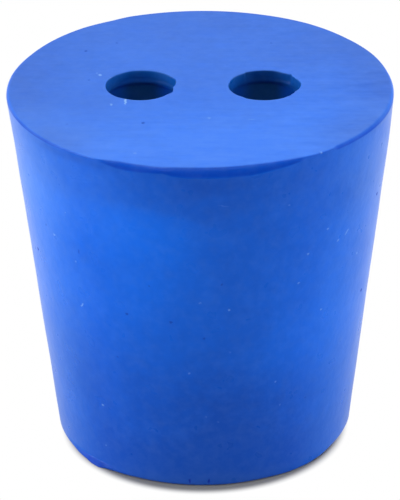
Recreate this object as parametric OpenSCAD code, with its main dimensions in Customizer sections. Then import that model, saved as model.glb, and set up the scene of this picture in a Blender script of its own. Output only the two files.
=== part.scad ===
// Two-hole laboratory stopper, moulded in one piece of solid rubber.
// A tapered plug that seals the neck of a flask, with two straight bores for glass tubing.
// It stands on its narrow end: the origin is the centre of that end, +Z runs along the plug
// to the wide end, and the bores lie side by side along X. All sizes are in millimetres.

/* [Plug] */
// Diameter of the wide end, measured where its face and the wall would meet in a sharp corner
top_d = 26; // [22:0.5:36]
// Diameter of the narrow end, measured the same way
bottom_d = 20; // [18:0.5:26]
// Length of the plug, from the narrow end to the wide end
plug_length = 25; // [18:1:40]

/* [Edges] */
// Radius of the edge round the wide end
top_edge_r = 0.3; // [0.1:0.05:1]
// Radius of the edge round the narrow end
bottom_edge_r = 0.35; // [0.1:0.05:1]
// Radius of the lip at both mouths of each bore
lip_r = 0.15; // [0.05:0.05:0.4]

/* [Bores] */
// Diameter of each bore, slightly under that of the tubing so that the rubber grips it
bore_d = 4.75; // [3:0.25:5.5]
// Distance between the centres of the two bores
bore_spacing = 8.25; // [6.5:0.25:9.5]

/* [Hidden] */

$fn = 120;
// Straight steps in the arc of each moulded edge and each lip
edge_steps = 8;
lip_steps = 4;
// How far a cutter runs past the face it opens
cut_past = 1;

top_r = top_d / 2;
bottom_r = bottom_d / 2;
bore_r = bore_d / 2;
// The wall leans out from the axis by this angle
taper = atan((top_r - bottom_r) / plug_length);
// The mouth of a bore is wider than its wall by the radius of its lip
mouth_r = bore_r + lip_r;
bore_side = [-1, 1];

// Radius of the unrounded wall at height z
function wall_r(z) = bottom_r + (top_r - bottom_r) * z / plug_length;

// Points on an arc about centre, from angle a0 to angle a1
function arc(centre, r, a0, a1, steps) =
    [for (i = [0 : steps]) centre + r * [cos(a0 + (a1 - a0) * i / steps), sin(a0 + (a1 - a0) * i / steps)]];

// Centre of an edge arc of radius r at height z, which touches the leaning wall
function edge_centre(z, r) = [wall_r(z) - r / cos(taper), z];

// Half section of the plug: both ends are flat, and an arc joins each to the straight wall
module plug_section() {
    polygon(concat(
        [[0, 0]],
        arc(edge_centre(bottom_edge_r, bottom_edge_r), bottom_edge_r, -90, -taper, edge_steps),
        arc(edge_centre(plug_length - top_edge_r, top_edge_r), top_edge_r, -taper, 90, edge_steps),
        [[0, plug_length]]
    ));
}

// Half section of what one bore removes: a straight wall that flares over the lip at each mouth
module bore_section() {
    polygon(concat(
        [[0, -cut_past], [mouth_r, -cut_past]],
        arc([mouth_r, lip_r], lip_r, 270, 180, lip_steps),
        arc([mouth_r, plug_length - lip_r], lip_r, 180, 90, lip_steps),
        [[mouth_r, plug_length + cut_past], [0, plug_length + cut_past]]
    ));
}

module stopper() {
    color("royalblue")
        difference() {
            rotate_extrude() plug_section();
            for (side = bore_side)
                translate([side * bore_spacing / 2, 0, 0])
                    rotate_extrude() bore_section();
        }
}

stopper();
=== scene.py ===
"""Two-hole laboratory stopper of blue moulded rubber, stood on its narrow end on a pale bench."""

import math

import bmesh
import bpy
from mathutils import Matrix, Vector


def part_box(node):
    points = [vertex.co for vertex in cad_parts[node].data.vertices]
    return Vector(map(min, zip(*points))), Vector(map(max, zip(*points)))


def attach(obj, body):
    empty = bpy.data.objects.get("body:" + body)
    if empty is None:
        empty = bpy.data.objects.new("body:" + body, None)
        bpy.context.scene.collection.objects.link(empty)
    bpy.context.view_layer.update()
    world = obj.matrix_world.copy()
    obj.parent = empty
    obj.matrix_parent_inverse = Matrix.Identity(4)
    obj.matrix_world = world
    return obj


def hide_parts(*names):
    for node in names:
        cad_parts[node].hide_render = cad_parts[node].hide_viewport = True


bl_info = {
    "name": "Rubber Stopper",
    "version": (1, 0, 0),
    "blender": (4, 5, 0),
    "location": "View3D > Sidebar > Stopper",
    "description": "Moulds a two-hole rubber stopper over its CAD frame and lays a pale bench",
    "category": "Object",
}

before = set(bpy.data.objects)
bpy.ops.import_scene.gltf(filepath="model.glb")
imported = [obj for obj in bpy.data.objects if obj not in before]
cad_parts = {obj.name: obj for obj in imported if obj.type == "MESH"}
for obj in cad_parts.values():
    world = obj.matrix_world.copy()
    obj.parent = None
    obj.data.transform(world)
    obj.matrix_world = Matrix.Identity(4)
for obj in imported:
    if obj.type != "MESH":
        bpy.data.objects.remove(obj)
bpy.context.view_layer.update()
LOW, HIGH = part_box("stopper")

MM = 0.001
TURN = 2.0 * math.pi
# Points closer than this are one point
TINY = 0.002 * MM
# What is this near to an end's height lies on that end
LEVEL = 0.001 * MM
PIECE = "moulded_plug"

# Every table below runs by azimuth: degrees round the plug from the front, -Y, towards +X.
# The edge of the wide end: how far it reaches down the wall and in over the face, in
# millimetres, and how round it is, from 0, a knife's flat cut, to 1, the moulded edge
RIM_EDGE = (
    (-180, 0.34, 0.34, 1), (-76, 0.34, 0.34, 1), (-68, 0.24, 0.22, 1), (-47, 0.24, 0.20, 1),
    (-43, 0.17, 0.14, 1), (-31, 0.13, 0.12, 1), (-29, 0.20, 0.30, 0.6), (-23.6, 0.45, 0.50, 0.3),
    (-18, 0.48, 0.52, 0.4), (-10.5, 0.38, 0.52, 0.6), (-8.8, 0.42, 0.54, 0.4),
    (-7.2, 0.55, 0.58, 0.15), (-2, 0.62, 0.62, 0.15), (8, 0.64, 0.60, 0.15), (15, 0.68, 0.56, 0.15),
    (21, 0.52, 0.52, 0.2), (26, 0.42, 0.46, 0.3), (32, 0.24, 0.30, 0.6), (36, 0.15, 0.14, 1),
    (42.8, 0.13, 0.13, 1), (44, 0.30, 0.26, 0.7), (75, 0.34, 0.32, 1), (180, 0.34, 0.34, 1),
)
# How much of the fresh cut's deeper blue that edge has: the cut at the front, and a darker band
# along the rounded edge at both sides; and how far it is torn rather than sliced, which leaves it
# rough: 1 is a plain tear, and more is rougher still
RIM_CUT = (
    (-180, 0, 0), (-105, 0, 0), (-90, 0.50, 0), (-72, 0.65, 0.3), (-66, 0.95, 0.9),
    (-50, 0.85, 0.9), (-42, 0.35, 0.4), (-34, 0.05, 0), (-30, 0, 0), (-26, 1, 0.1), (29, 1, 0.1),
    (33, 0.3, 0.6), (42.8, 0.3, 0.9), (44, 0.8, 1.2), (60, 0.9, 1.3), (74, 0.55, 0.9), (88, 0, 0),
    (180, 0, 0),
)
# How far down the wall and in over the face the edge is reshaped, in millimetres
RIM_DOWN = 2.5
RIM_IN = 1.2
# How far the rim stands out of round, in millimetres
RIM_WAVE = (
    (-180, -0.04), (-165, 0), (-156, 0.06), (-150, -0.03), (-140, 0.07), (-130, 0.05),
    (-115, -0.02), (-100, 0.05), (-85, 0.06), (-70, 0.03), (-50, 0), (50, 0), (75, -0.04),
    (90, -0.10), (102, -0.15), (115, -0.11), (130, -0.14), (146, -0.04), (162, -0.07), (180, -0.04),
)
# How far below the wide end the wall is out of round with it, in millimetres
WAVE_DOWN = 4.0
# Radius of the edge round the narrow end, in millimetres
FOOT_EDGE = (
    (-180, 0.35), (-60, 0.35), (-40, 0.32), (-10, 0.27), (10, 0.24), (25, 0.3), (35, 0.16),
    (46, 0.18), (54, 0.35), (62, 0.62), (76, 0.66), (88, 0.35), (180, 0.35),
)
# How far up the wall and in over the narrow end that edge is reshaped, in millimetres
FOOT_UP = 3.0
FOOT_IN = 1.4
# Flash left on the narrow end's edge: how far it stands out, in millimetres
FOOT_FLASH = (
    (-180, 0), (-70, 0), (-62, 0.06), (-56, 0.20), (-51, 0.28), (-47.5, 0.42), (-43, 0.46),
    (-40.5, 0.24), (-36, 0.10), (-31, 0.07), (-25, 0), (180, 0),
)
# and how high up the wall it reaches
FLASH_HEIGHT = 0.5
# The mouths of the two bores, by angle round each bore from +X towards +Y: how far the torn lip
# stands back from its round shape, in millimetres, less than nothing where it overhangs the bore
MOUTH_LEFT = (
    (0, -0.11), (9, -0.02), (22, 0.09), (36, 0.04), (52, 0.04), (90, 0.01), (112, 0.02),
    (128, -0.01), (138, 0.02), (160, 0.03), (180, -0.02), (200, 0), (232, 0.04), (247, 0),
    (270, 0.02), (292, 0.01), (308, -0.02), (320, -0.08), (329, 0), (333, 0.01), (338, -0.05),
    (345, -0.13), (353, -0.22), (360, -0.11),
)
MOUTH_RIGHT = (
    (0, 0.06), (7, 0.10), (15, 0.05), (28, -0.01), (38, 0.01), (44, 0.13), (49, 0.03), (58, -0.02),
    (75, 0.04), (98, 0.02), (117, 0.05), (121, 0.09), (125, 0), (145, 0.04), (170, 0.01),
    (200, 0.02), (224, -0.01), (233, -0.04), (243, 0.05), (262, 0.02), (290, 0.02), (303, 0.02),
    (313, -0.03), (317, 0.01), (322, -0.07), (328, -0.04), (334, -0.11), (341, -0.04), (350, 0.03),
    (360, 0.06),
)
# How far out over the face and down the bore a mouth is torn, in millimetres
TEAR_OUT = 0.95
TEAR_DOWN = 0.55
# Ridges round the bores' walls, by side: angle round the bore, half width in degrees, depth of the
# crest under the face, reach above it and below it, and how far it stands out, in millimetres
RIDGES = (
    (-1, 85, 100, 0.90, 0.34, 0.14, 0.075),
    (-1, 30, 28, 0.74, 0.18, 0.20, 0.042),
    (1, 85, 100, 0.82, 0.32, 0.14, 0.055),
    (1, 50, 24, 0.72, 0.16, 0.18, 0.018),
    (1, 16, 20, 0.90, 0.20, 0.20, 0.025),
)


def linear(hex_colour):
    """The linear RGBA of an sRGB colour written as #RRGGBB."""
    shares = [int(hex_colour[i : i + 2], 16) / 255.0 for i in (1, 3, 5)]
    return (*(s / 12.92 if s <= 0.04045 else ((s + 0.055) / 1.055) ** 2.4 for s in shares), 1.0)


# What every colour below has in common
COLOUR = {"subtype": "COLOR", "size": 4, "min": 0.0, "max": 1.0}


class StopperSizes(bpy.types.PropertyGroup):
    """Sizes of the moulded plug."""

    wide_diameter: bpy.props.FloatProperty(
        name="Wide end", description="Diameter of the wide end at its sharp corner",
        default=0.026, min=0.02, max=0.04, unit="LENGTH")
    narrow_diameter: bpy.props.FloatProperty(
        name="Narrow end", description="Diameter of the narrow end at its sharp corner",
        default=0.020, min=0.015, max=0.03, unit="LENGTH")
    length: bpy.props.FloatProperty(
        name="Length", description="Height of the plug on its narrow end",
        default=HIGH.z - LOW.z, min=0.015, max=0.04, unit="LENGTH")
    wide_edge: bpy.props.FloatProperty(
        name="Wide edge", description="Radius of the edge round the wide end",
        default=0.0003, min=0.0001, max=0.001, unit="LENGTH")
    narrow_edge: bpy.props.FloatProperty(
        name="Narrow edge", description="Radius of the edge round the narrow end",
        default=0.00035, min=0.0001, max=0.001, unit="LENGTH")
    bore_diameter: bpy.props.FloatProperty(
        name="Bore", description="Diameter of each bore",
        default=0.00475, min=0.003, max=0.006, unit="LENGTH")
    bore_spacing: bpy.props.FloatProperty(
        name="Bore spacing", description="Distance between the centres of the two bores",
        default=0.00825, min=0.0065, max=0.01, unit="LENGTH")
    lip: bpy.props.FloatProperty(
        name="Bore lip", description="Radius of the lip at the mouths of each bore",
        default=0.00008, min=0.00005, max=0.0004, unit="LENGTH")
    drift: bpy.props.FloatVectorProperty(
        name="Bore drift", description="How far the bores wander from the middle at the wide end",
        size=2, default=(0.00010, 0.00027), min=-0.0005, max=0.0005, unit="LENGTH")
    wave: bpy.props.FloatProperty(
        name="Wall wave", description="Height of the slow waves in the moulded wall",
        default=0.00007, min=0.0, max=0.0005, unit="LENGTH")


class StopperFinish(bpy.types.PropertyGroup):
    """Colours and finish of the rubber."""

    rubber: bpy.props.FloatVectorProperty(
        name="Rubber", description="Blue of the moulded skin where it is palest",
        default=linear("#076BEF"), **COLOUR)
    # Painted glow of light along both sides of the wall
    clear: bpy.props.FloatVectorProperty(
        name="Clear rubber", description="Greener blue that the skin has a share of on both sides",
        default=linear("#0C84F0"), **COLOUR)
    # Painted shade, with the random clouds and mottle, mixes the skin towards this blue
    deep: bpy.props.FloatVectorProperty(
        name="Deep rubber", description="Blue of the skin where it is deepest",
        default=linear("#074DBC"), **COLOUR)
    cut: bpy.props.FloatVectorProperty(
        name="Fresh cut", description="Blue of rubber that a blade has laid open",
        default=linear("#0241B8"), **COLOUR)
    # The bores' three blues paint their light and shade: deep at the mouths, duller further down,
    # paler to both sides
    mouth: bpy.props.FloatVectorProperty(
        name="Bore mouth", description="Blue of the bores' walls next to their mouths",
        default=linear("#033A82"), **COLOUR)
    bore: bpy.props.FloatVectorProperty(
        name="Bore rubber", description="Duller blue further down the bores",
        default=linear("#225E90"), **COLOUR)
    flank: bpy.props.FloatVectorProperty(
        name="Bore flank", description="Paler blue to the left and right in the bores",
        default=linear("#1A82FA"), **COLOUR)
    # Also the colour of painted sheen on the skived end and the wall's sides, and of painted
    # highlights on the bores' ridges
    dust_and_sheen: bpy.props.FloatVectorProperty(
        name="Dust", description="Pale dust in scuffs and scratches",
        default=linear("#8FBCF2"), **COLOUR)
    pit: bpy.props.FloatVectorProperty(
        name="Pit", description="Dark blue at the bottom of pits and specks",
        default=linear("#0424A0"), **COLOUR)
    roughness: bpy.props.FloatProperty(
        name="Roughness", description="Roughness of the moulded wall",
        default=0.29, min=0.1, max=1.0, subtype="FACTOR")


class StopperStage(bpy.types.PropertyGroup):
    """The bench and the stopper's shadow on it."""

    bench: bpy.props.FloatVectorProperty(
        name="Bench", description="Colour of the laminate",
        default=linear("#C4C2BE"), **COLOUR)
    # Painted shadow: the laminate is given this darker colour next to the foot
    painted_contact_shadow: bpy.props.FloatVectorProperty(
        name="Contact", description="Colour of the laminate right under the stopper's overhang",
        default=linear("#A8A69E"), **COLOUR)
    shadow_from: bpy.props.FloatProperty(
        name="Shadow from", description="How far from its middle the shadow is full",
        default=0.0091, min=0.005, max=0.02, unit="LENGTH")
    shadow_to: bpy.props.FloatProperty(
        name="Shadow to", description="How far from its middle the shadow ends",
        default=0.00998, min=0.005, max=0.03, unit="LENGTH")
    dim_from: bpy.props.FloatProperty(
        name="Dim from", description="How far out the bench is dim in the stopper's sheen",
        default=0.010, min=0.005, max=0.05, unit="LENGTH")
    dim_to: bpy.props.FloatProperty(
        name="Dim to", description="How far out the bench is white again in that sheen",
        default=0.026, min=0.005, max=0.1, unit="LENGTH")
    shadow_middle: bpy.props.FloatVectorProperty(
        name="Shadow middle", description="Middle of the shadow that shows on the bench",
        size=3, default=(0.00005, -0.00125, 0.0), min=-0.01, max=0.01, unit="LENGTH")


def pick(piece, kind, test):
    """In edit mode, selects only the verts, edges or faces that pass the test."""
    mesh = bmesh.from_edit_mesh(piece.data)
    bpy.context.tool_settings.mesh_select_mode = (kind == "verts", kind == "edges", kind == "faces")
    for group in (mesh.faces, mesh.edges, mesh.verts):
        for part in group:
            part.select = False
    count = 0
    for part in getattr(mesh, kind):
        if test(part):
            part.select_set(True)
            count += 1
    mesh.select_flush_mode()
    bmesh.update_edit_mesh(piece.data)
    if not count:
        raise RuntimeError("nothing to pick among the " + kind)


def middle(part):
    """The mean place of an edge's or face's corners."""
    return sum((v.co for v in part.verts), Vector()) / len(part.verts)


def half_section(name, inner, outer, height):
    """Adds a rectangle in the XZ plane, from inner to outer and up to height, and edits it."""
    bpy.ops.object.select_all(action="DESELECT")
    bpy.ops.mesh.primitive_plane_add(size=1.0, rotation=(math.pi / 2, 0.0, 0.0))
    piece = bpy.context.active_object
    piece.name = name
    bpy.ops.object.transform_apply(location=True, rotation=True, scale=True)
    bpy.ops.object.mode_set(mode="EDIT")
    bpy.ops.mesh.select_all(action="SELECT")
    bpy.ops.transform.resize(value=(outer - inner, 1.0, height), center_override=(0.0, 0.0, 0.0))
    bpy.ops.transform.translate(value=((inner + outer) / 2, 0.0, height / 2))
    return piece


def round_corner(piece, test, radius, half_angle, segments):
    """Bevels one corner of the section to an arc of that radius."""
    pick(piece, "verts", test)
    bpy.ops.mesh.bevel(offset_type="OFFSET", offset=radius / math.tan(half_angle),
                       segments=segments, profile=0.5, affect="VERTICES")


def split_edge(piece, test, cuts):
    """Subdivides the picked edges of the section."""
    pick(piece, "edges", test)
    bpy.ops.mesh.subdivide(number_cuts=cuts)


def spin_section(steps, centre):
    """Turns the section once round a vertical axis and closes the seam."""
    bpy.ops.mesh.select_all(action="SELECT")
    bpy.ops.mesh.spin(steps=steps, angle=TURN, center=centre, axis=(0.0, 0.0, 1.0))
    bpy.ops.mesh.select_all(action="SELECT")
    bpy.ops.mesh.remove_doubles(threshold=TINY)
    bpy.ops.object.mode_set(mode="OBJECT")


def open_outline(piece, test):
    """Leaves only the outline of the section, open at the edge that passes the test."""
    bpy.ops.mesh.select_all(action="SELECT")
    bpy.ops.mesh.delete(type="ONLY_FACE")
    pick(piece, "edges", test)
    bpy.ops.mesh.delete(type="EDGE")


# Radii in millimetres: where the skin's share of both faces starts, and where each bore's ends
SKIN_INNER = 8.0
BORE_RING = 3.4
# Faces round the skin and round each bore
SKIN_STEPS = 480
BORE_STEPS = 192


def turn_skin(sizes):
    """Spins the wall, its two edges and the outer part of both faces."""
    wide, narrow = sizes.wide_diameter / 2, sizes.narrow_diameter / 2
    lean = math.atan2(wide - narrow, sizes.length)
    face_inner = SKIN_INNER * MM
    skin = half_section(PIECE, face_inner, narrow, sizes.length)
    pick(skin, "verts", lambda v: v.co.x > narrow - MM and v.co.z > sizes.length / 2)
    bpy.ops.transform.translate(value=(wide - narrow, 0.0, 0.0))
    round_corner(skin, lambda v: v.co.x > wide - MM, sizes.wide_edge, math.pi / 4 - lean / 2, 12)
    round_corner(skin, lambda v: v.co.x > face_inner + MM and v.co.z < MM / 2,
                 sizes.narrow_edge, math.pi / 4 + lean / 2, 10)
    open_outline(skin, lambda e: middle(e).x < face_inner + 0.1 * MM)
    # The wall is halved and each half gets 30 rows, and both faces get rings
    split_edge(skin, lambda e: abs(e.verts[0].co.z - e.verts[1].co.z) > 5 * MM, 1)
    split_edge(skin, lambda e: e.calc_length() > 5 * MM and middle(e).z > 15 * MM, 29)
    split_edge(skin, lambda e: e.calc_length() > 5 * MM and MM < middle(e).z < 10 * MM, 29)
    split_edge(skin, lambda e: middle(e).z > sizes.length - LEVEL, 4)
    split_edge(skin, lambda e: middle(e).z < LEVEL, 2)
    # Closer rows next to both edges, so that smooth shading stays on the edges
    split_edge(skin, lambda e: middle(e).z > sizes.length - LEVEL
               and middle(e).x > wide - 1.4 * MM and e.calc_length() > 0.5 * MM, 7)
    split_edge(skin, lambda e: middle(e).z < LEVEL and middle(e).x > narrow - 1.2 * MM
               and e.calc_length() > 0.5 * MM, 4)
    split_edge(skin, lambda e: e.calc_length() > 0.3 * MM and middle(e).x > narrow
               and (middle(e).z > sizes.length - 0.8 * MM or middle(e).z < 0.9 * MM), 3)
    spin_section(SKIN_STEPS, (0.0, 0.0, 0.0))
    return skin


def turn_bore(sizes, side):
    """Spins one bore with its lips and a ring of each face round it."""
    radius, ring = sizes.bore_diameter / 2, BORE_RING * MM
    axis = side * sizes.bore_spacing / 2
    bore = half_section("bore", radius, ring, sizes.length)
    for low in (True, False):
        round_corner(bore, lambda v: v.co.x < radius + 0.01 * MM
                     and (v.co.z < sizes.length / 2) == low, sizes.lip, math.pi / 4, 5)
    open_outline(bore, lambda e: middle(e).x > ring - 0.01 * MM)
    # Eight lengths of wall, the top one in 32 rows and the rest in 4, and rings round both mouths
    split_edge(bore, lambda e: e.calc_length() > 10 * MM, 7)
    split_edge(bore, lambda e: e.calc_length() > 3 * MM and middle(e).z > sizes.length - 3 * MM, 31)
    split_edge(bore, lambda e: e.calc_length() > 3 * MM, 3)
    for end in (0.0, sizes.length):
        split_edge(bore, lambda e: abs(middle(e).z - end) < LEVEL, 4)
    bpy.ops.mesh.select_all(action="SELECT")
    bpy.ops.transform.translate(value=(axis, 0.0, 0.0))
    spin_section(BORE_STEPS, (axis, 0.0, 0.0))
    return bore


def close_faces(plug, sizes):
    """Fills both flat ends between the skin and the bores."""
    for end in (0.0, sizes.length):
        pick(plug, "edges", lambda e: e.is_boundary and abs(middle(e).z - end) < LEVEL)
        bpy.ops.mesh.fill(use_beauty=True)
    bpy.ops.mesh.select_all(action="SELECT")
    bpy.ops.mesh.remove_doubles(threshold=TINY)
    bpy.ops.mesh.normals_make_consistent(inside=False)


def between(table, place):
    """A table's values at a place, straight from row to row; the first column is the place."""
    for row, after in zip(table, table[1:]):
        if place <= after[0]:
            share = (place - row[0]) / (after[0] - row[0])
            return [a + (b - a) * share for a, b in zip(row[1:], after[1:])]
    return list(table[-1][1:])


class STOPPER_OT_plug(bpy.types.Operator):
    """Turn the plug's wall, ends and bores, and join them in one closed skin"""

    bl_idname = "stopper.plug"
    bl_label = "Moulded plug"

    def execute(self, context):
        sizes = context.scene.stopper_sizes
        parts = [turn_skin(sizes), turn_bore(sizes, -1), turn_bore(sizes, 1)]
        bpy.ops.object.select_all(action="DESELECT")
        for part in parts:
            part.select_set(True)
        context.view_layer.objects.active = parts[0]
        bpy.ops.object.join()
        bpy.ops.object.mode_set(mode="EDIT")
        close_faces(parts[0], sizes)
        bpy.ops.object.mode_set(mode="OBJECT")
        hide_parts("stopper")
        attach(parts[0], "root")
        return {"FINISHED"}


# Numbers from 0 to about 1 that the vertices carry to the material: how freshly cut and how torn
# the edges are, where the bores' walls are, their painted light to the sides and the painted
# highlight on their ridges
EDGE_VALUES = ("fresh_cut", "torn_edge")
BORE_VALUES = ("bore_wall", "bore_flank", "bore_wear")


def new_attributes(mesh, names):
    """The values of new vertex attributes, one number a vertex, all 0 at first."""
    for name in names:
        mesh.attributes.new(name, "FLOAT", "POINT")
    return [mesh.attributes[name].data for name in names]


def azimuth(place):
    """Degrees round the plug from the front, -Y, towards +X."""
    return math.degrees(math.atan2(place.x, -place.y))


def bump_of(offset, half_width):
    """A smooth hump: 1 in the middle and 0 from half_width on."""
    share = min(1.0, abs(offset) / half_width)
    return (1.0 - share * share) ** 2


def to_radius(place, radius):
    """The place moved straight out from, or in to, the plug's axis."""
    scale = radius / place.xy.length
    return Vector((place.x * scale, place.y * scale, place.z))


def wall_slope(sizes):
    """How far the wall leans out over its height."""
    return (sizes.wide_diameter - sizes.narrow_diameter) / 2 / sizes.length


def rim_place(sizes, v, angle):
    """Where a point near the wide edge goes, and how fully it lies on the edge, from 0 to 1."""
    wide, top, radius = sizes.wide_diameter / 2, sizes.length, sizes.wide_edge
    slope = wall_slope(sizes)
    lean = math.atan(slope)
    arc_low = top - radius * (1 + math.sin(lean))
    arc_in = wide - slope * radius - radius / math.cos(lean)
    wall_from, face_from = top - RIM_DOWN * MM, wide - RIM_IN * MM
    down, inward, roundness = between(RIM_EDGE, angle)
    low = Vector((wide - slope * down * MM, top - down * MM))
    high = Vector((wide - inward * MM, top))
    reach = v.xy.length
    if v.z < arc_low - TINY:
        z = wall_from + (v.z - wall_from) / (arc_low - wall_from) * (low.y - wall_from)
        return to_radius(Vector((v.x, v.y, z)), wide - slope * (top - z)), 0.0
    if reach < arc_in - TINY:
        share = (reach - face_from) / (arc_in - face_from)
        return to_radius(v, face_from + share * (high.x - face_from)), 0.0
    turn = math.atan2(v.z - (top - radius), reach - arc_in)
    share = min(1.0, max(0.0, (turn + lean) / (math.pi / 2 + lean)))
    # A cubic curve from the wall to the face. Its two handles lie near the straight line for a
    # flat cut and towards the sharp corner for the moulded edge
    corner = Vector((wide, top))
    first = low.lerp(high, 0.36).lerp(low.lerp(corner, 0.55), roundness)
    second = high.lerp(low, 0.25).lerp(high.lerp(corner, 0.62), 0.4 + 0.6 * roundness)
    place = (low * (1 - share) ** 3 + first * (3 * share * (1 - share) ** 2)
             + second * (3 * share ** 2 * (1 - share)) + high * share ** 3)
    # The cut starts at a crisp line on the wall, and thins out towards the face
    across = min(1.0, share / 0.15) * min(1.0, (1.0 - share) / 0.75)
    return to_radius(Vector((v.x, v.y, place.y)), place.x), across


def foot_place(sizes, v, angle):
    """Where a point near the narrow edge goes, as the radius of that edge changes round it."""
    narrow, radius = sizes.narrow_diameter / 2, sizes.narrow_edge
    slope = wall_slope(sizes)
    lean = math.atan(slope)
    new = between(FOOT_EDGE, angle)[0] * MM

    def arc(r):
        return Vector((narrow + slope * r - r / math.cos(lean), r))

    old_arc, new_arc = arc(radius), arc(new)
    old_top, new_top = radius * (1 - math.sin(lean)), new * (1 - math.sin(lean))
    wall_to, face_to = FOOT_UP * MM, narrow - FOOT_IN * MM
    reach = v.xy.length
    if v.z > old_top + TINY:
        share = (wall_to - v.z) / (wall_to - old_top)
        z = wall_to - share * (wall_to - new_top)
        return to_radius(Vector((v.x, v.y, z)), narrow + slope * z)
    if reach < old_arc.x - TINY:
        share = (reach - face_to) / (old_arc.x - face_to)
        return to_radius(v, face_to + share * (new_arc.x - face_to))
    off = (Vector((reach, v.z)) - old_arc) * (new / radius) + new_arc
    return to_radius(Vector((v.x, v.y, off.y)), off.x)


class STOPPER_OT_edges(bpy.types.Operator):
    """Trim the front of the wide rim with an uneven cut, and wear both edges out of true"""

    bl_idname = "stopper.edges"
    bl_label = "Trimmed edges"

    def execute(self, context):
        sizes = context.scene.stopper_sizes
        mesh = bpy.data.objects[PIECE].data
        cut, torn = new_attributes(mesh, EDGE_VALUES)
        top, wide, narrow = sizes.length, sizes.wide_diameter / 2, sizes.narrow_diameter / 2
        for v in mesh.vertices:
            angle, reach = azimuth(v.co), v.co.xy.length
            if v.co.z > top - RIM_DOWN * MM and reach > wide - RIM_IN * MM:
                v.co, across = rim_place(sizes, v.co, angle)
                sliced, rough = between(RIM_CUT, angle)
                cut[v.index].value = across * sliced
                torn[v.index].value = across * rough
            elif v.co.z < FOOT_UP * MM and reach > narrow - FOOT_IN * MM:
                v.co = foot_place(sizes, v.co, angle)
                # Flash is thickest at its lower edge, and shows fresh rubber
                if reach > narrow - 0.5 * MM and v.co.z < FLASH_HEIGHT * MM:
                    flash = between(FOOT_FLASH, angle)[0]
                    low = 1.0 - v.co.z / (FLASH_HEIGHT * MM)
                    v.co = to_radius(v.co, v.co.xy.length + flash * low * MM)
                    cut[v.index].value = min(1.0, 3.0 * flash) * min(1.0, 4.0 * low)
                    torn[v.index].value = cut[v.index].value
            # The wave takes the wall and the outer ring of the wide end with it
            reach = v.co.xy.length
            if reach > narrow - FOOT_IN * MM and (v.co.z > 0.5 * MM or reach > wide):
                near_rim = max(0.0, 1.0 - (top - v.co.z) / (WAVE_DOWN * MM)) ** 1.5
                edge_share = min(1.0, max(0.0, (reach - (narrow - FOOT_IN * MM)) / MM))
                out = between(RIM_WAVE, angle)[0] * near_rim * MM * edge_share
                v.co = to_radius(v.co, reach + out)
        mesh.update()
        return {"FINISHED"}


def ease(value, low, high):
    """0 up to low, 1 from high on, and smooth in between."""
    share = min(1.0, max(0.0, (value - low) / (high - low)))
    return share * share * (3.0 - 2.0 * share)


def painted_flank_light_share(side, angle, depth):
    """Painted light on a bore's wall: how pale it is, most to its left and right, at the left
    bore's mouth, and in a band about 0.6 mm down.
    """
    across = math.cos(math.radians(angle))
    # Down the bore, from 0.7 to 1 mm under the face, the right side is the paler one
    share = ease(abs(across), 0.25, 0.80) * (1.0 if across > 0 else 0.6)
    mouth = 0.26 if side < 0 else 0.04 + 0.22 * ease(abs(across), 0.25, 0.9)
    return mouth + (share - mouth) * ease(depth, 0.7, 1.0) + 0.10 * bump_of(depth - 0.6, 0.4)


class STOPPER_OT_bores(bpy.types.Operator):
    """Let the bores wander a little, tear their mouths and raise ridges down their walls"""

    bl_idname = "stopper.bores"
    bl_label = "Torn bores"

    def execute(self, context):
        sizes = context.scene.stopper_sizes
        mesh = bpy.data.objects[PIECE].data
        inside, flank, ridge_highlight = new_attributes(mesh, BORE_VALUES)
        top, radius = sizes.length, sizes.bore_diameter / 2
        for v in mesh.vertices:
            side = -1 if v.co.x < 0 else 1
            axis = Vector((side * sizes.bore_spacing / 2, 0.0))
            off = v.co.xy - axis
            reach = off.length
            if reach > (BORE_RING + 0.1) * MM:
                continue
            angle = math.degrees(math.atan2(off.y, off.x)) % 360.0
            depth = top - v.co.z
            fade = 1.0 - min(1.0, max(0.0, (reach - radius) / (TEAR_OUT * MM)))
            torn = between(MOUTH_LEFT if side < 0 else MOUTH_RIGHT, angle)[0]
            torn *= math.exp(-((depth / (TEAR_DOWN * MM)) ** 2)) * fade ** 1.5
            ridge = 0.0
            if reach < radius + 0.01 * MM:
                for row_side, at, half, crest, above, below, out in RIDGES:
                    turn = (angle - at + 180.0) % 360.0 - 180.0
                    under = depth / MM - crest
                    if row_side == side:
                        reach_up = above if under < 0 else below
                        ridge += out * bump_of(turn, half) * bump_of(under, reach_up)
            # The bore's own colour starts within 0.06 mm of the face
            if reach < radius + sizes.lip:
                inside[v.index].value = min(1.0, depth / (0.06 * MM))
                # Painted light on the bore's sides, and a painted highlight where its ridges stand
                # out
                flank[v.index].value = painted_flank_light_share(side, angle, depth / MM)
                ridge_highlight[v.index].value = ridge / 0.05
            off = off * (1.0 + (torn - ridge) * MM / reach)
            wander = Vector(sizes.drift) * (v.co.z / top) * min(1.0, fade * 1.6)
            v.co = Vector((*(axis + off + wander), v.co.z))
        mesh.update()
        return {"FINISHED"}


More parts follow.
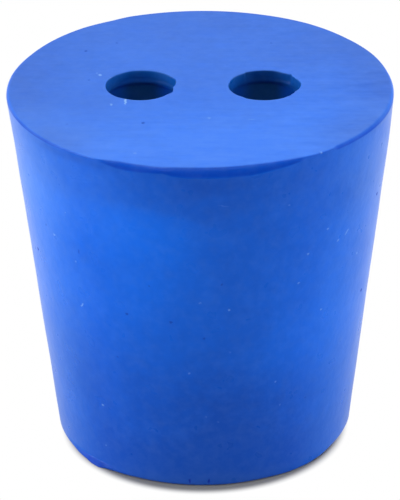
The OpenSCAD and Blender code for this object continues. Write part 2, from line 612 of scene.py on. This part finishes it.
class STOPPER_OT_waves(bpy.types.Operator):
    """Give the moulded wall its slow waves, and smooth the skin but for its sharp creases"""

    bl_idname = "stopper.waves"
    bl_label = "Wall waves"

    def execute(self, context):
        sizes = context.scene.stopper_sizes
        plug = bpy.data.objects[PIECE]
        group = plug.vertex_groups.new(name="wall")
        # The waves stop short of both edges, and rise to their full height over 2 mm
        low, high = MM, sizes.length - 1.2 * MM
        for v in plug.data.vertices:
            if v.co.xy.length > 9.9 * MM and low < v.co.z < high:
                from_end = min(v.co.z - low, high - v.co.z)
                group.add([v.index], min(1.0, from_end / (2.0 * MM)), "REPLACE")
        clouds = bpy.data.textures.new("slow_waves", "CLOUDS")
        clouds.noise_scale = 5.0 * MM
        clouds.noise_depth = 1
        bpy.ops.object.select_all(action="DESELECT")
        plug.select_set(True)
        context.view_layer.objects.active = plug
        bpy.ops.object.modifier_add(type="DISPLACE")
        waves = plug.modifiers[-1]
        waves.texture = clouds
        waves.texture_coords = "LOCAL"
        waves.vertex_group = group.name
        waves.strength = sizes.wave
        waves.mid_level = 0.6
        bpy.ops.object.modifier_apply(modifier=waves.name)
        bpy.ops.object.shade_smooth_by_angle(angle=math.radians(38.0))
        return {"FINISHED"}


def add_node(tree, kind, settings=None, inputs=None):
    """Adds a node, sets it, and fills its inputs with values, sockets or nodes' first outputs."""
    node = tree.nodes.new(kind)
    for key, value in (settings or {}).items():
        setattr(node, key, value)
    for key, value in (inputs or {}).items():
        if isinstance(value, bpy.types.Node):
            value = value.outputs[0]
        if isinstance(value, bpy.types.NodeSocket):
            tree.links.new(value, node.inputs[key])
        else:
            node.inputs[key].default_value = value
    return node


# Settings that several nodes share. Map Range goes from input 1 to input 2, and gives input 3
# at the start and input 4 at the end, or 0 and 1 where they aren't said
ADD, SUBTRACT, MULTIPLY, MULTIPLY_ADD, MAXIMUM = (
    {"operation": kind} for kind in ("ADD", "SUBTRACT", "MULTIPLY", "MULTIPLY_ADD", "MAXIMUM"))
SMOOTH = {"interpolation_type": "SMOOTHSTEP"}
COLOUR_MIX = {"data_type": "RGBA"}


def new_material(name):
    """An empty node material with its output."""
    material = bpy.data.materials.new(name)
    material.use_nodes = True
    material.node_tree.nodes.clear()
    return material, material.node_tree


# In millimetres: height of the wide end, radius of the narrow end, and how far out the wall leans
# on each millimetre up
FACE_HEIGHT = 25.0
FOOT_RADIUS = 10.0
WALL_LEAN = 0.12
# How far patches and small marks reach into the rubber, so that wear doesn't lift them off it
PATCH_DEPTH = 6.0
MARK_DEPTH = 0.4
# Painted shade: how deep the wall's blue is, deeper towards the foot and just under the wide end,
# in steps
# that add up: height where each step starts and ends, and how much it gives there
PAINTED_SHADE_STEPS = (
    (15, 5, 0.38, 0.82),
    (5, 1.5, 0, 0.26),
    (20.5, 24, 0, 0.20),
)
# Soft patches of painted shade on the wall, or of painted light where less than nothing: azimuth,
# height, half width and half height in millimetres, and how much
PAINTED_WALL_PATCHES = (
    (-22, 20.6, 8, 4.5, -0.30), (-60, 20.5, 6, 4, -0.15), (-13, 17.5, 5, 5.5, -0.20),
    (15, 15, 6.5, 15, 0.22), (-32, 23.7, 8, 2.2, -0.32), (56, 20.8, 6.5, 3, 0.34),
    (68, 24.8, 4, 0.7, 0.35), (34, 10.2, 9.5, 4.8, -0.24), (5, 6.5, 8, 4, 0.08),
    (-14, 7.5, 3.5, 4.5, 0.04), (10, 4.2, 6.5, 1.9, 0.12), (-46, 23, 8, 3.5, 0.20),
    (-46, 24.5, 7, 0.5, 0.30), (-52, 8, 5.5, 6, 0.24), (62, 14.5, 4.5, 4.5, 0.18),
    (3, 22.6, 3, 0.8, -0.12),
)
# Patches of painted haze and sheen that grey the wall towards the pale scuff colour, at its sides
# and by the foot, or clear it where less than nothing: azimuth, height, half sizes and how much
PAINTED_WALL_SHEEN = (
    (-47, 22.5, 9.5, 5.5, 0.045), (-62, 14, 7, 14, 0.040), (-5, 2.5, 12, 5, 0.012),
    (0, 0.2, 16, 1.2, 0.05), (-66, 20.5, 6, 7, 0.08), (68, 21, 5.5, 5.5, 0.05),
    (44, 23, 7, 3, 0.015), (73, 24.8, 3, 0.8, 0.06), (75, 25, 7, 3, -0.02),
)
# Patches of painted shade on the wide end, or painted light where less than nothing: place in X and
# Y, half sizes in X and Y, and how much
PAINTED_FACE_PATCHES = (
    (-10, -9, 5, 5, 0.5), (10.5, -7, 4.5, 5, 0.5), (-9, -1, 6, 8, 0.15), (0, 12, 14, 10, 0.1),
    (-13, 0, 5, 14, 0.46), (13, 1, 5, 13, 0.50), (0, 0, 16, 8, 0.22), (-7, -5, 6, 6, 0.10),
    (2, -9.5, 6, 4, -0.14), (-9, 6, 5.5, 6, 0.16), (9, 6.5, 5.5, 5.5, 0.24),
    (-9, -3.5, 6, 3.5, 0.14),
)
# Dark pits and specks in the wall: azimuth, height, half width, half height, and how much
WALL_PITS = (
    (-67.6, 15.1, 0.18, 0.18, 2), (-57, 18, 0.13, 0.14, 0.6), (-41, 17.2, 0.10, 0.26, 0.9),
    (-24.3, 13.4, 0.14, 0.13, 1), (-9.2, 13.2, 0.15, 0.15, 1), (1.5, 12, 0.16, 0.14, 0.8),
    (-29.3, 9.7, 0.13, 0.12, 0.8), (7.3, 16.2, 0.13, 0.12, 1), (70.2, 11.7, 0.17, 0.16, 2),
    (73.7, 18.7, 0.20, 0.17, 2), (67.1, 20.3, 0.12, 0.12, 0.5), (57.3, 8.9, 0.12, 0.11, 0.3),
    (40.6, 5.8, 0.11, 0.11, 0.5), (-15.9, 15.9, 0.12, 0.12, 0.7), (-62.2, 4.1, 0.12, 0.12, 0.5),
    (-4.4, 0.41, 0.14, 0.28, 1.5), (2.9, 0.42, 0.14, 0.28, 1.5),
)
# Pale scuffs on the wall: the same, and how many degrees it slants, where it does
WALL_SCUFFS = (
    (-52.7, 17.6, 0.16, 0.14, 0.36), (-42.7, 12.95, 0.10, 0.30, 0.42, 40),
    (0.4, 14.8, 0.12, 0.10, 0.20), (9.7, 14.2, 0.13, 0.13, 0.42), (43.6, 18.8, 0.15, 0.10, 0.28),
    (48.9, 17.5, 0.14, 0.10, 0.34), (53.2, 17.8, 0.10, 0.34, 0.42, 50),
    (36.2, 17.4, 0.13, 0.12, 0.40), (33.6, 15.3, 0.12, 0.12, 0.34), (44.2, 12.5, 0.13, 0.12, 0.42),
    (61.5, 15.4, 0.14, 0.12, 0.50), (10.2, 10.8, 0.11, 0.10, 0.10), (-3.7, 9.2, 0.11, 0.10, 0.24),
    (-38.4, 5.3, 0.13, 0.11, 0.42), (6.3, 5.25, 0.10, 0.12, 0.08), (27, 7.85, 0.12, 0.11, 0.26),
    (27.9, 21.6, 0.12, 0.10, 0.22), (29.6, 5.9, 0.10, 0.10, 0.20), (2, 5.7, 0.10, 0.10, 0.08),
    (-39.3, 2, 0.12, 0.10, 0.26), (-45, 19.9, 0.12, 0.10, 0.30), (-43, 16.3, 0.12, 0.13, 0.26),
    (7.6, 22.25, 0.60, 0.05, 0.10, 15), (38, 24.93, 0.15, 0.13, 0.45),
)
# Dark specks and pale scuffs on the wide end: place in X and Y, half sizes, and how much
FACE_PITS = (
    (-7.95, 5.84, 0.14, 0.20, 1), (-7.54, 1.06, 0.14, 0.18, 0.5), (-3.69, -5.77, 0.15, 0.22, 1.1),
    (-5.89, 7.18, 0.12, 0.16, 0.6), (4.64, 7.17, 0.12, 0.16, 0.5), (-8.68, -5.93, 0.13, 0.18, 0.3),
)
FACE_SCUFFS = (
    (-6.83, 1.87, 0.17, 0.26, 0.6), (-7.05, 2.2, 0.12, 0.16, 0.2), (-5.90, -2.86, 0.13, 0.26, 0.5),
    (-4.97, -2.20, 0.13, 0.42, 0.8), (-4.97, -2.55, 0.11, 0.50, 0.7),
    (0.63, -4.99, 0.16, 0.20, 0.25), (-4.06, -10.37, 0.16, 0.20, 0.20),
    (3.4, -5.2, 0.4, 0.14, 0.14),
)


def on_wall(azimuth_degrees, height):
    """A place on the nominal wall, in millimetres."""
    turn = math.radians(azimuth_degrees)
    radius = FOOT_RADIUS + WALL_LEAN * height
    return (radius * math.sin(turn), -radius * math.cos(turn), height)


def soft_spot(tree, place, centre, turns, half_sizes):
    """A value of 1 at the middle of an ellipsoid that falls to 0 at its edge."""
    local = add_node(tree, "ShaderNodeMapping", {"vector_type": "TEXTURE"}, {
        "Vector": place, "Location": centre, "Rotation": turns, "Scale": half_sizes})
    return add_node(tree, "ShaderNodeTexGradient", {"gradient_type": "SPHERICAL"},
                    {"Vector": local}).outputs["Fac"]


def grain(tree, place, feature, detail=2.0, stretch=(1.0, 1.0, 1.0)):
    """Noise from -0.5 to 0.5 whose lumps are about that many millimetres across."""
    local = add_node(tree, "ShaderNodeMapping", inputs={
        "Vector": place, "Scale": [1.0 / (feature * share) for share in stretch]})
    clouds = add_node(tree, "ShaderNodeTexNoise", inputs={
        "Vector": local, "Scale": 1.0, "Detail": detail, "Roughness": 0.6})
    return add_node(tree, "ShaderNodeMath", SUBTRACT, {0: clouds, 1: 0.5})


def wall_spot(angle, height, half_width, half_height, amount, slant=0.0, depth=MARK_DEPTH):
    """A spot on the wall: its centre, its turns, its half sizes and how much."""
    turns = (0.0, math.radians(slant), math.radians(angle))
    return on_wall(angle, height), turns, (half_width, depth, half_height), amount


def face_spot(x, y, half_x, half_y, amount, depth=MARK_DEPTH):
    """The same for a spot on the wide end."""
    return (x, y, FACE_HEIGHT), (0.0, 0.0, 0.0), (half_x, half_y, depth), amount


def marks(tree, place, spots):
    """The strongest of many small spots at each point."""
    strongest = 0.0
    for centre, turns, half_sizes, amount in spots:
        spot = soft_spot(tree, place, centre, turns, half_sizes)
        spot = add_node(tree, "ShaderNodeMapRange", SMOOTH,
                        {0: spot, 1: 0.05, 2: 0.8, 3: 0.0, 4: amount})
        strongest = add_node(tree, "ShaderNodeMath", MAXIMUM, {0: strongest, 1: spot})
    return strongest


def patches(tree, place, value, spots):
    """A value with many soft spots added to it."""
    for centre, turns, half_sizes, amount in spots:
        spot = soft_spot(tree, place, centre, turns, half_sizes)
        spot = add_node(tree, "ShaderNodeMapRange", SMOOTH, {0: spot, 3: 0.0, 4: amount})
        value = add_node(tree, "ShaderNodeMath", ADD, {0: value, 1: spot})
    return value


def painted_wall_shade(tree, place, x, z):
    """Painted shade on the wall: how deep the blue is, 0 where it is palest and 1 where it is
    deepest.
    """
    shade = 0.0
    for start, end, from_shade, to_shade in PAINTED_SHADE_STEPS:
        step = add_node(tree, "ShaderNodeMapRange", SMOOTH,
                        {0: z, 1: start, 2: end, 3: from_shade, 4: to_shade})
        shade = add_node(tree, "ShaderNodeMath", ADD, {0: shade, 1: step})
    # A painted band of shade bows down to both sides. The skin above it is deeper: softly all along
    # it, and at a sharp line as well to the left of the middle
    right = add_node(tree, "ShaderNodeMath", ADD, {0: x, 1: 6.0})
    drop = add_node(tree, "ShaderNodeMath", MULTIPLY, {0: right, 1: right})
    above = add_node(tree, "ShaderNodeMath", MULTIPLY_ADD, {0: drop, 1: 0.027, 2: z})
    sharp = add_node(tree, "ShaderNodeMapRange", SMOOTH,
                     {0: above, 1: 21.70, 2: 22.30, 3: 0.0, 4: 0.16})
    soft = add_node(tree, "ShaderNodeMapRange", SMOOTH,
                    {0: above, 1: 20.1, 2: 23.6, 3: 0.0, 4: 0.14})
    to_right = add_node(tree, "ShaderNodeMapRange", SMOOTH,
                        {0: x, 1: 0.0, 2: 4.0, 3: 1.0, 4: 0.0})
    from_left = add_node(tree, "ShaderNodeMapRange", SMOOTH, {0: x, 1: -9.0, 2: -5.0})
    band = add_node(tree, "ShaderNodeMath", MULTIPLY_ADD, {0: sharp, 1: to_right, 2: soft})
    shade = add_node(tree, "ShaderNodeMath", MULTIPLY_ADD, {0: band, 1: from_left, 2: shade})
    return patches(tree, place, shade, [wall_spot(*row, depth=PATCH_DEPTH) for row in PAINTED_WALL_PATCHES])


def painted_face_shade(tree, place, y):
    """The same painted shade on the wide end, which is painted paler towards the front where more
    light falls.
    """
    shade = add_node(tree, "ShaderNodeMapRange", SMOOTH, {0: y, 1: -9.0, 2: 13.0, 3: 0.05, 4: 0.6})
    return patches(tree, place, shade, [face_spot(*row, depth=PATCH_DEPTH) for row in PAINTED_FACE_PATCHES])


def painted_side_glow(tree, place, face):
    """How much of the greener blue there is, a painted glow of light: most on both sides of the
    wall, none on the end.
    """
    out = add_node(tree, "ShaderNodeVectorMath", MULTIPLY, {0: place, 1: (1.0, 1.0, 0.0)})
    out = add_node(tree, "ShaderNodeVectorMath", {"operation": "NORMALIZE"}, {0: out})
    sideways = add_node(tree, "ShaderNodeSeparateXYZ", inputs={0: out}).outputs["X"]
    sideways = add_node(tree, "ShaderNodeMath", {"operation": "ABSOLUTE"}, {0: sideways})
    wall = add_node(tree, "ShaderNodeMapRange", SMOOTH,
                    {0: sideways, 1: 0.55, 2: 1.0, 3: 0.0, 4: 0.30})
    return add_node(tree, "ShaderNodeMix", inputs={0: face, 2: wall, 3: 0.0})


def weighed_sum(tree, value, parts):
    """A value with others added to it, each a weight and what it weighs."""
    for weight, part in parts:
        value = add_node(tree, "ShaderNodeMath", MULTIPLY_ADD, {0: part, 1: weight, 2: value})
    return value


def layered(tree, colour, layers):
    """A colour with others laid over it in turn, each with its share."""
    for share, over in layers:
        colour = add_node(tree, "ShaderNodeMix", COLOUR_MIX,
                          {0: share, 6: colour, 7: over}).outputs[2]
    return colour


def skived_lines(tree, place, face):
    """Fine lines along X and broader streaks, left where the wide end was skived flat."""
    # A blade leaves lines about 0.2 mm apart, and its chatter about 0.7 mm
    lines = grain(tree, place, 0.22, 3.0, (30.0, 1.0, 1.0))
    lines = add_node(tree, "ShaderNodeMath", MULTIPLY, {0: lines, 1: face})
    streaks = grain(tree, place, 0.7, 3.0, (5.0, 1.0, 1.0))
    # The streaks are strongest towards the front and the right
    toward = add_node(tree, "ShaderNodeVectorMath", {"operation": "DOT_PRODUCT"},
                      {0: place, 1: (0.6, -0.8, 0.0)}).outputs["Value"]
    toward = add_node(tree, "ShaderNodeMapRange", SMOOTH,
                      {0: toward, 1: -5.0, 2: 8.0, 3: 0.1, 4: 1.0})
    streaks = add_node(tree, "ShaderNodeMath", MULTIPLY, {0: streaks, 1: toward})
    return lines, add_node(tree, "ShaderNodeMath", MULTIPLY, {0: streaks, 1: face})


def ragged_marks(tree, place):
    """The dark pits and specks, and the pale scuffs, all with ragged outlines."""
    waver = add_node(tree, "ShaderNodeTexNoise",
                     inputs={"Vector": place, "Scale": 5.0, "Detail": 2.0})
    waver = add_node(tree, "ShaderNodeVectorMath", SUBTRACT,
                     {0: waver.outputs["Color"], 1: (0.5, 0.5, 0.5)})
    ragged = add_node(tree, "ShaderNodeVectorMath", MULTIPLY_ADD,
                      {0: waver, 1: (0.22, 0.22, 0.22), 2: place})
    return [
        marks(tree, ragged, [wall_spot(*row) for row in wall] + [face_spot(*row) for row in face])
        for wall, face in ((WALL_PITS, FACE_PITS), (WALL_SCUFFS, FACE_SCUFFS))]


def bloom_and_painted_sheen(tree, place, y, face, streaks):
    """How far the skin greys towards the pale scuff colour: flecks of wax bloom, painted reflection
    evenly on the skived end and more towards its front, and painted sheen in the wall's patches.
    """
    near = add_node(tree, "ShaderNodeMapRange", SMOOTH, {0: y, 1: -3.0, 2: -9.0})
    near = add_node(tree, "ShaderNodeMath", MULTIPLY, {0: near, 1: face})
    bloom = patches(tree, place, 0.008, [wall_spot(*row, depth=PATCH_DEPTH) for row in PAINTED_WALL_SHEEN])
    bloom = weighed_sum(tree, bloom, (
        (0.035, grain(tree, place, 1.5, 1.0)), (0.090, grain(tree, place, 0.6)),
        (-0.16, streaks), (0.030, near), (0.138, face)))
    return add_node(tree, "ShaderNodeMath", MAXIMUM, {0: bloom, 1: 0.0})


class STOPPER_OT_rubber(bpy.types.Operator):
    """Give the plug its satin blue rubber, with its patches, grain, pits and scuffs"""

    bl_idname = "stopper.rubber"
    bl_label = "Moulded rubber"

    def execute(self, context):
        finish = context.scene.stopper_finish
        # Natural rubber pressed in a metal mould: a smooth, satin skin that takes the mould's fine
        # texture, with waxy bloom in flecks, painted shade, light and sheen that cloud the blue in
        # soft patches, and a matt, skived end
        material, tree = new_material("moulded natural rubber")
        coordinates = add_node(tree, "ShaderNodeTexCoord").outputs["Object"]
        place = add_node(tree, "ShaderNodeVectorMath", {"operation": "SCALE"},
                         {0: coordinates, "Scale": 1.0 / MM})
        x, y, z = add_node(tree, "ShaderNodeSeparateXYZ", inputs={0: place}).outputs
        cut, torn, inside, flank, ridge_highlight = (
            add_node(tree, "ShaderNodeAttribute", {"attribute_name": name}).outputs["Fac"]
            for name in EDGE_VALUES + BORE_VALUES)
        face = add_node(tree, "ShaderNodeMapRange", SMOOTH, {0: z, 1: 24.93, 2: 24.99})
        lines, streaks = skived_lines(tree, place, face)
        pits, scuffs = ragged_marks(tree, place)

        # The blue is clouded over 3.5 mm and mottled over 0.8 mm
        # It starts from the painted shade of the wall and of the wide end
        shade = add_node(tree, "ShaderNodeMix", inputs={
            0: face, 2: painted_wall_shade(tree, place, x, z), 3: painted_face_shade(tree, place, y)})
        shade = weighed_sum(tree, shade, (
            (0.30, grain(tree, place, 3.5)), (0.30, grain(tree, place, 0.8)), (0.20, lines),
            (0.25, streaks)))
        # The pale colour lays on scuffs, bloom and painted sheen, and a painted highlight on the
        # bores' ridges
        dust_and_sheen_share = weighed_sum(tree, scuffs, (
            (1.0, bloom_and_painted_sheen(tree, place, y, face, streaks)), (0.02, ridge_highlight)))
        pitted = add_node(tree, "ShaderNodeMath", MULTIPLY, {0: pits, 1: 0.55})
        # Painted light and shade in the bores: deep blue at the mouths, duller further down, paler
        # to both sides
        down = add_node(tree, "ShaderNodeMapRange", SMOOTH, {0: z, 1: 24.25, 2: 23.95})
        bore = layered(tree, finish.mouth, ((down, finish.bore), (flank, finish.flank)))
        # Painted shade mixes in the deep blue, and a painted glow the greener blue at the wall's
        # sides
        colour = layered(tree, finish.rubber, (
            (shade, finish.deep), (painted_side_glow(tree, place, face), finish.clear),
            (cut, finish.cut), (inside, bore), (dust_and_sheen_share, finish.dust_and_sheen), (pitted, finish.pit)))

        # Heights in millimetres: shallow crinkles, the mould's fine pebble, drawn at 0.15 mm,
        # coarser than the real one, so that it shows, the skived lines and the pits
        height = weighed_sum(tree, 0.0, (
            (0.020, grain(tree, place, 0.8)), (0.002, grain(tree, place, 0.15, 1.0)),
            (0.006, lines), (-0.010, pits)))
        bump = add_node(tree, "ShaderNodeBump", inputs={"Distance": MM, "Height": height})
        roughness = weighed_sum(tree, finish.roughness, (
            (0.10, grain(tree, place, 1.6)), (0.30, face), (0.2, scuffs), (0.3, pits),
            (0.4, torn)))
        # The bloom takes most of the shine off the skin, so its sheen is weak
        shader = add_node(tree, "ShaderNodeBsdfPrincipled", inputs={
            "Base Color": colour, "Roughness": roughness, "Normal": bump, "IOR": 1.52,
            "Specular IOR Level": 0.135})
        add_node(tree, "ShaderNodeOutputMaterial", inputs={"Surface": shader})
        plug = bpy.data.objects[PIECE]
        plug.data.materials.clear()
        plug.data.materials.append(material)
        return {"FINISHED"}


# The lamps: name, azimuth and elevation in degrees, width and height in metres, and how brightly
# the lamp alone lights a white card that faces it from the stopper's place, where 1 is white
LAMPS = (
    ("left_softbox", -82.0, 8.0, 0.70, 0.17, 1.12),
    ("right_softbox", 90.0, 8.0, 0.70, 0.17, 1.00),
    ("top_softbox", 180.0, 75.0, 0.60, 0.50, 0.79),
    ("front_softbox", 0.0, 64.0, 0.50, 0.20, 0.20),
    ("back_softbox", 180.0, 30.0, 0.60, 0.40, 0.12),
    ("front_strip", 0.0, 5.0, 0.50, 0.10, 0.12),
)
LAMP_DISTANCE = 0.6
WHITE = (1.0, 1.0, 1.0, 1.0)
# Where the camera stands and how it is turned: pitch down, turn to the left and roll, in radians
CAMERA_PLACE = (6.317 * MM, -259.923 * MM, 143.254 * MM)
CAMERA_PITCH = 0.465088
CAMERA_TURN = 0.025004
CAMERA_ROLL = -0.010595
# Focal length in pixels of a frame that is 500 pixels high
CAMERA_FOCAL_PIXELS = 4271.68
FRAME_HEIGHT_PIXELS = 500.0
SENSOR_SIZE = 36.0


def ray_kinds(tree):
    """Whether a ray is the camera's own, and whether something has mirrored it or let it pass."""
    path = add_node(tree, "ShaderNodeLightPath")
    mirrored = add_node(tree, "ShaderNodeMath", MAXIMUM, {
        0: path.outputs["Is Glossy Ray"], 1: path.outputs["Is Transmission Ray"]})
    return path.outputs["Is Camera Ray"], mirrored


def bench_material(stage):
    """Matt white laminate that shows as white, but for the dark line where the stopper stands."""
    # Laminate pressed with a matt plate: so bright in this light that it goes plain white, and
    # only the shadow under the overhang stays
    material, tree = new_material("matt white laminate")
    place = add_node(tree, "ShaderNodeTexCoord").outputs["Object"]
    away = add_node(tree, "ShaderNodeVectorMath", {"operation": "DISTANCE"},
                    {0: place, 1: stage.shadow_middle}).outputs["Value"]
    clear = add_node(tree, "ShaderNodeMapRange", SMOOTH,
                     {0: away, 1: stage.shadow_from, 2: stage.shadow_to})
    own, mirrored = ray_kinds(tree)
    # Painted shade: the stopper's own sheen finds the bench dimmer next to its foot
    near = add_node(tree, "ShaderNodeMapRange", SMOOTH,
                    {0: away, 1: stage.dim_from, 2: stage.dim_to, 3: 0.65, 4: 1.0})
    mirrored = add_node(tree, "ShaderNodeMath", MULTIPLY, {0: mirrored, 1: near})
    seen = add_node(tree, "ShaderNodeMath", MAXIMUM, {0: own, 1: mirrored})
    white = add_node(tree, "ShaderNodeMath", MULTIPLY, {0: clear, 1: seen})
    # Painted shadow: the laminate's own colour goes darker next to the foot
    laminate = add_node(tree, "ShaderNodeMix", COLOUR_MIX,
                        {0: clear, 6: stage.painted_contact_shadow, 7: stage.bench}).outputs[2]
    matt = add_node(tree, "ShaderNodeBsdfDiffuse", inputs={"Color": laminate})
    glow = add_node(tree, "ShaderNodeEmission", inputs={"Color": WHITE, "Strength": 1.0})
    shader = add_node(tree, "ShaderNodeMixShader", inputs={0: white, 1: matt, 2: glow})
    add_node(tree, "ShaderNodeOutputMaterial", inputs={"Surface": shader})
    return material


def white_world(context):
    """A world that shows white behind the bench, and lights the stopper hardly at all."""
    world = bpy.data.worlds.new("studio")
    context.scene.world = world
    world.use_nodes = True
    tree = world.node_tree
    tree.nodes.clear()
    place = add_node(tree, "ShaderNodeTexCoord").outputs["Generated"]
    axes = add_node(tree, "ShaderNodeSeparateXYZ", inputs={0: place})
    behind = add_node(tree, "ShaderNodeMapRange", SMOOTH, {0: axes.outputs["Y"], 1: 0.0, 2: 0.4})
    own, mirrored = ray_kinds(tree)
    seen = add_node(tree, "ShaderNodeMath", MULTIPLY, {0: mirrored, 1: behind})
    seen = add_node(tree, "ShaderNodeMath", MAXIMUM, {0: seen, 1: own})
    strength = add_node(tree, "ShaderNodeMapRange", inputs={0: seen, 3: 0.02, 4: 1.0})
    sky = add_node(tree, "ShaderNodeBackground", inputs={"Color": WHITE, "Strength": strength})
    add_node(tree, "ShaderNodeOutputWorld", inputs={"Surface": sky})


def hang_lamp(name, azimuth_degrees, elevation_degrees, width, height, level):
    """Hangs an area lamp that faces the stopper and isn't seen itself."""
    turn, lift = math.radians(azimuth_degrees), math.radians(elevation_degrees)
    flat = math.cos(lift)
    away = Vector((math.sin(turn) * flat, -math.cos(turn) * flat, math.sin(lift)))
    aim = Vector((0.0, 0.0, (LOW.z + HIGH.z) / 2))
    bpy.ops.object.light_add(type="AREA", location=aim + away * LAMP_DISTANCE,
                             rotation=away.to_track_quat("Z", "Y").to_euler())
    lamp = bpy.context.active_object
    lamp.name = name
    lamp.data.shape = "RECTANGLE"
    lamp.data.size = width
    lamp.data.size_y = height
    # With this many watts a lamp lights a card at that distance to white
    lamp.data.energy = level * (math.pi * LAMP_DISTANCE) ** 2
    lamp.visible_camera = False


class STOPPER_OT_stage(bpy.types.Operator):
    """Lay the pale bench, hang the soft lamps and set the camera"""

    bl_idname = "stopper.stage"
    bl_label = "Bench and light"

    def execute(self, context):
        stage = context.scene.stopper_stage
        bpy.ops.object.select_all(action="DESELECT")
        bpy.ops.mesh.primitive_circle_add(vertices=96, radius=2.0, fill_type="NGON")
        bench = context.active_object
        bench.name = "bench"
        bench.data.materials.append(bench_material(stage))
        for lamp in LAMPS:
            hang_lamp(*lamp)
        white_world(context)
        turn = (Matrix.Rotation(CAMERA_TURN, 4, "Z")
                @ Matrix.Rotation(math.pi / 2 - CAMERA_PITCH, 4, "X")
                @ Matrix.Rotation(CAMERA_ROLL, 4, "Z"))
        bpy.ops.object.camera_add(location=CAMERA_PLACE, rotation=turn.to_euler())
        camera = context.active_object
        camera.data.sensor_width = SENSOR_SIZE
        camera.data.lens = CAMERA_FOCAL_PIXELS * SENSOR_SIZE / FRAME_HEIGHT_PIXELS
        camera.data.clip_start = 0.01
        camera.data.clip_end = 10.0
        context.scene.camera = camera
        context.scene.view_settings.view_transform = "Standard"
        return {"FINISHED"}


class STOPPER_PT_panel(bpy.types.Panel):
    """The stopper's pieces, in the order they are made."""

    bl_idname = "STOPPER_PT_panel"
    bl_label = "Stopper"
    bl_space_type = "VIEW_3D"
    bl_region_type = "UI"
    bl_category = "Stopper"

    def draw(self, context):
        for operator in OPERATORS:
            self.layout.operator(operator.bl_idname)


OPERATORS = (
    STOPPER_OT_plug, STOPPER_OT_edges, STOPPER_OT_bores, STOPPER_OT_waves, STOPPER_OT_rubber,
    STOPPER_OT_stage,
)
GROUPS = (
    ("stopper_sizes", StopperSizes), ("stopper_finish", StopperFinish),
    ("stopper_stage", StopperStage),
)


def register():
    for name, group in GROUPS:
        bpy.utils.register_class(group)
        setattr(bpy.types.Scene, name, bpy.props.PointerProperty(type=group))
    for operator in OPERATORS:
        bpy.utils.register_class(operator)
    bpy.utils.register_class(STOPPER_PT_panel)


def unregister():
    bpy.utils.unregister_class(STOPPER_PT_panel)
    for operator in reversed(OPERATORS):
        bpy.utils.unregister_class(operator)
    for name, group in reversed(GROUPS):
        delattr(bpy.types.Scene, name)
        bpy.utils.unregister_class(group)


def main():
    register()
    bpy.ops.stopper.plug()
    bpy.ops.stopper.edges()
    bpy.ops.stopper.bores()
    bpy.ops.stopper.waves()
    bpy.ops.stopper.rubber()
    bpy.ops.stopper.stage()


if __name__ == "__main__":
    main()
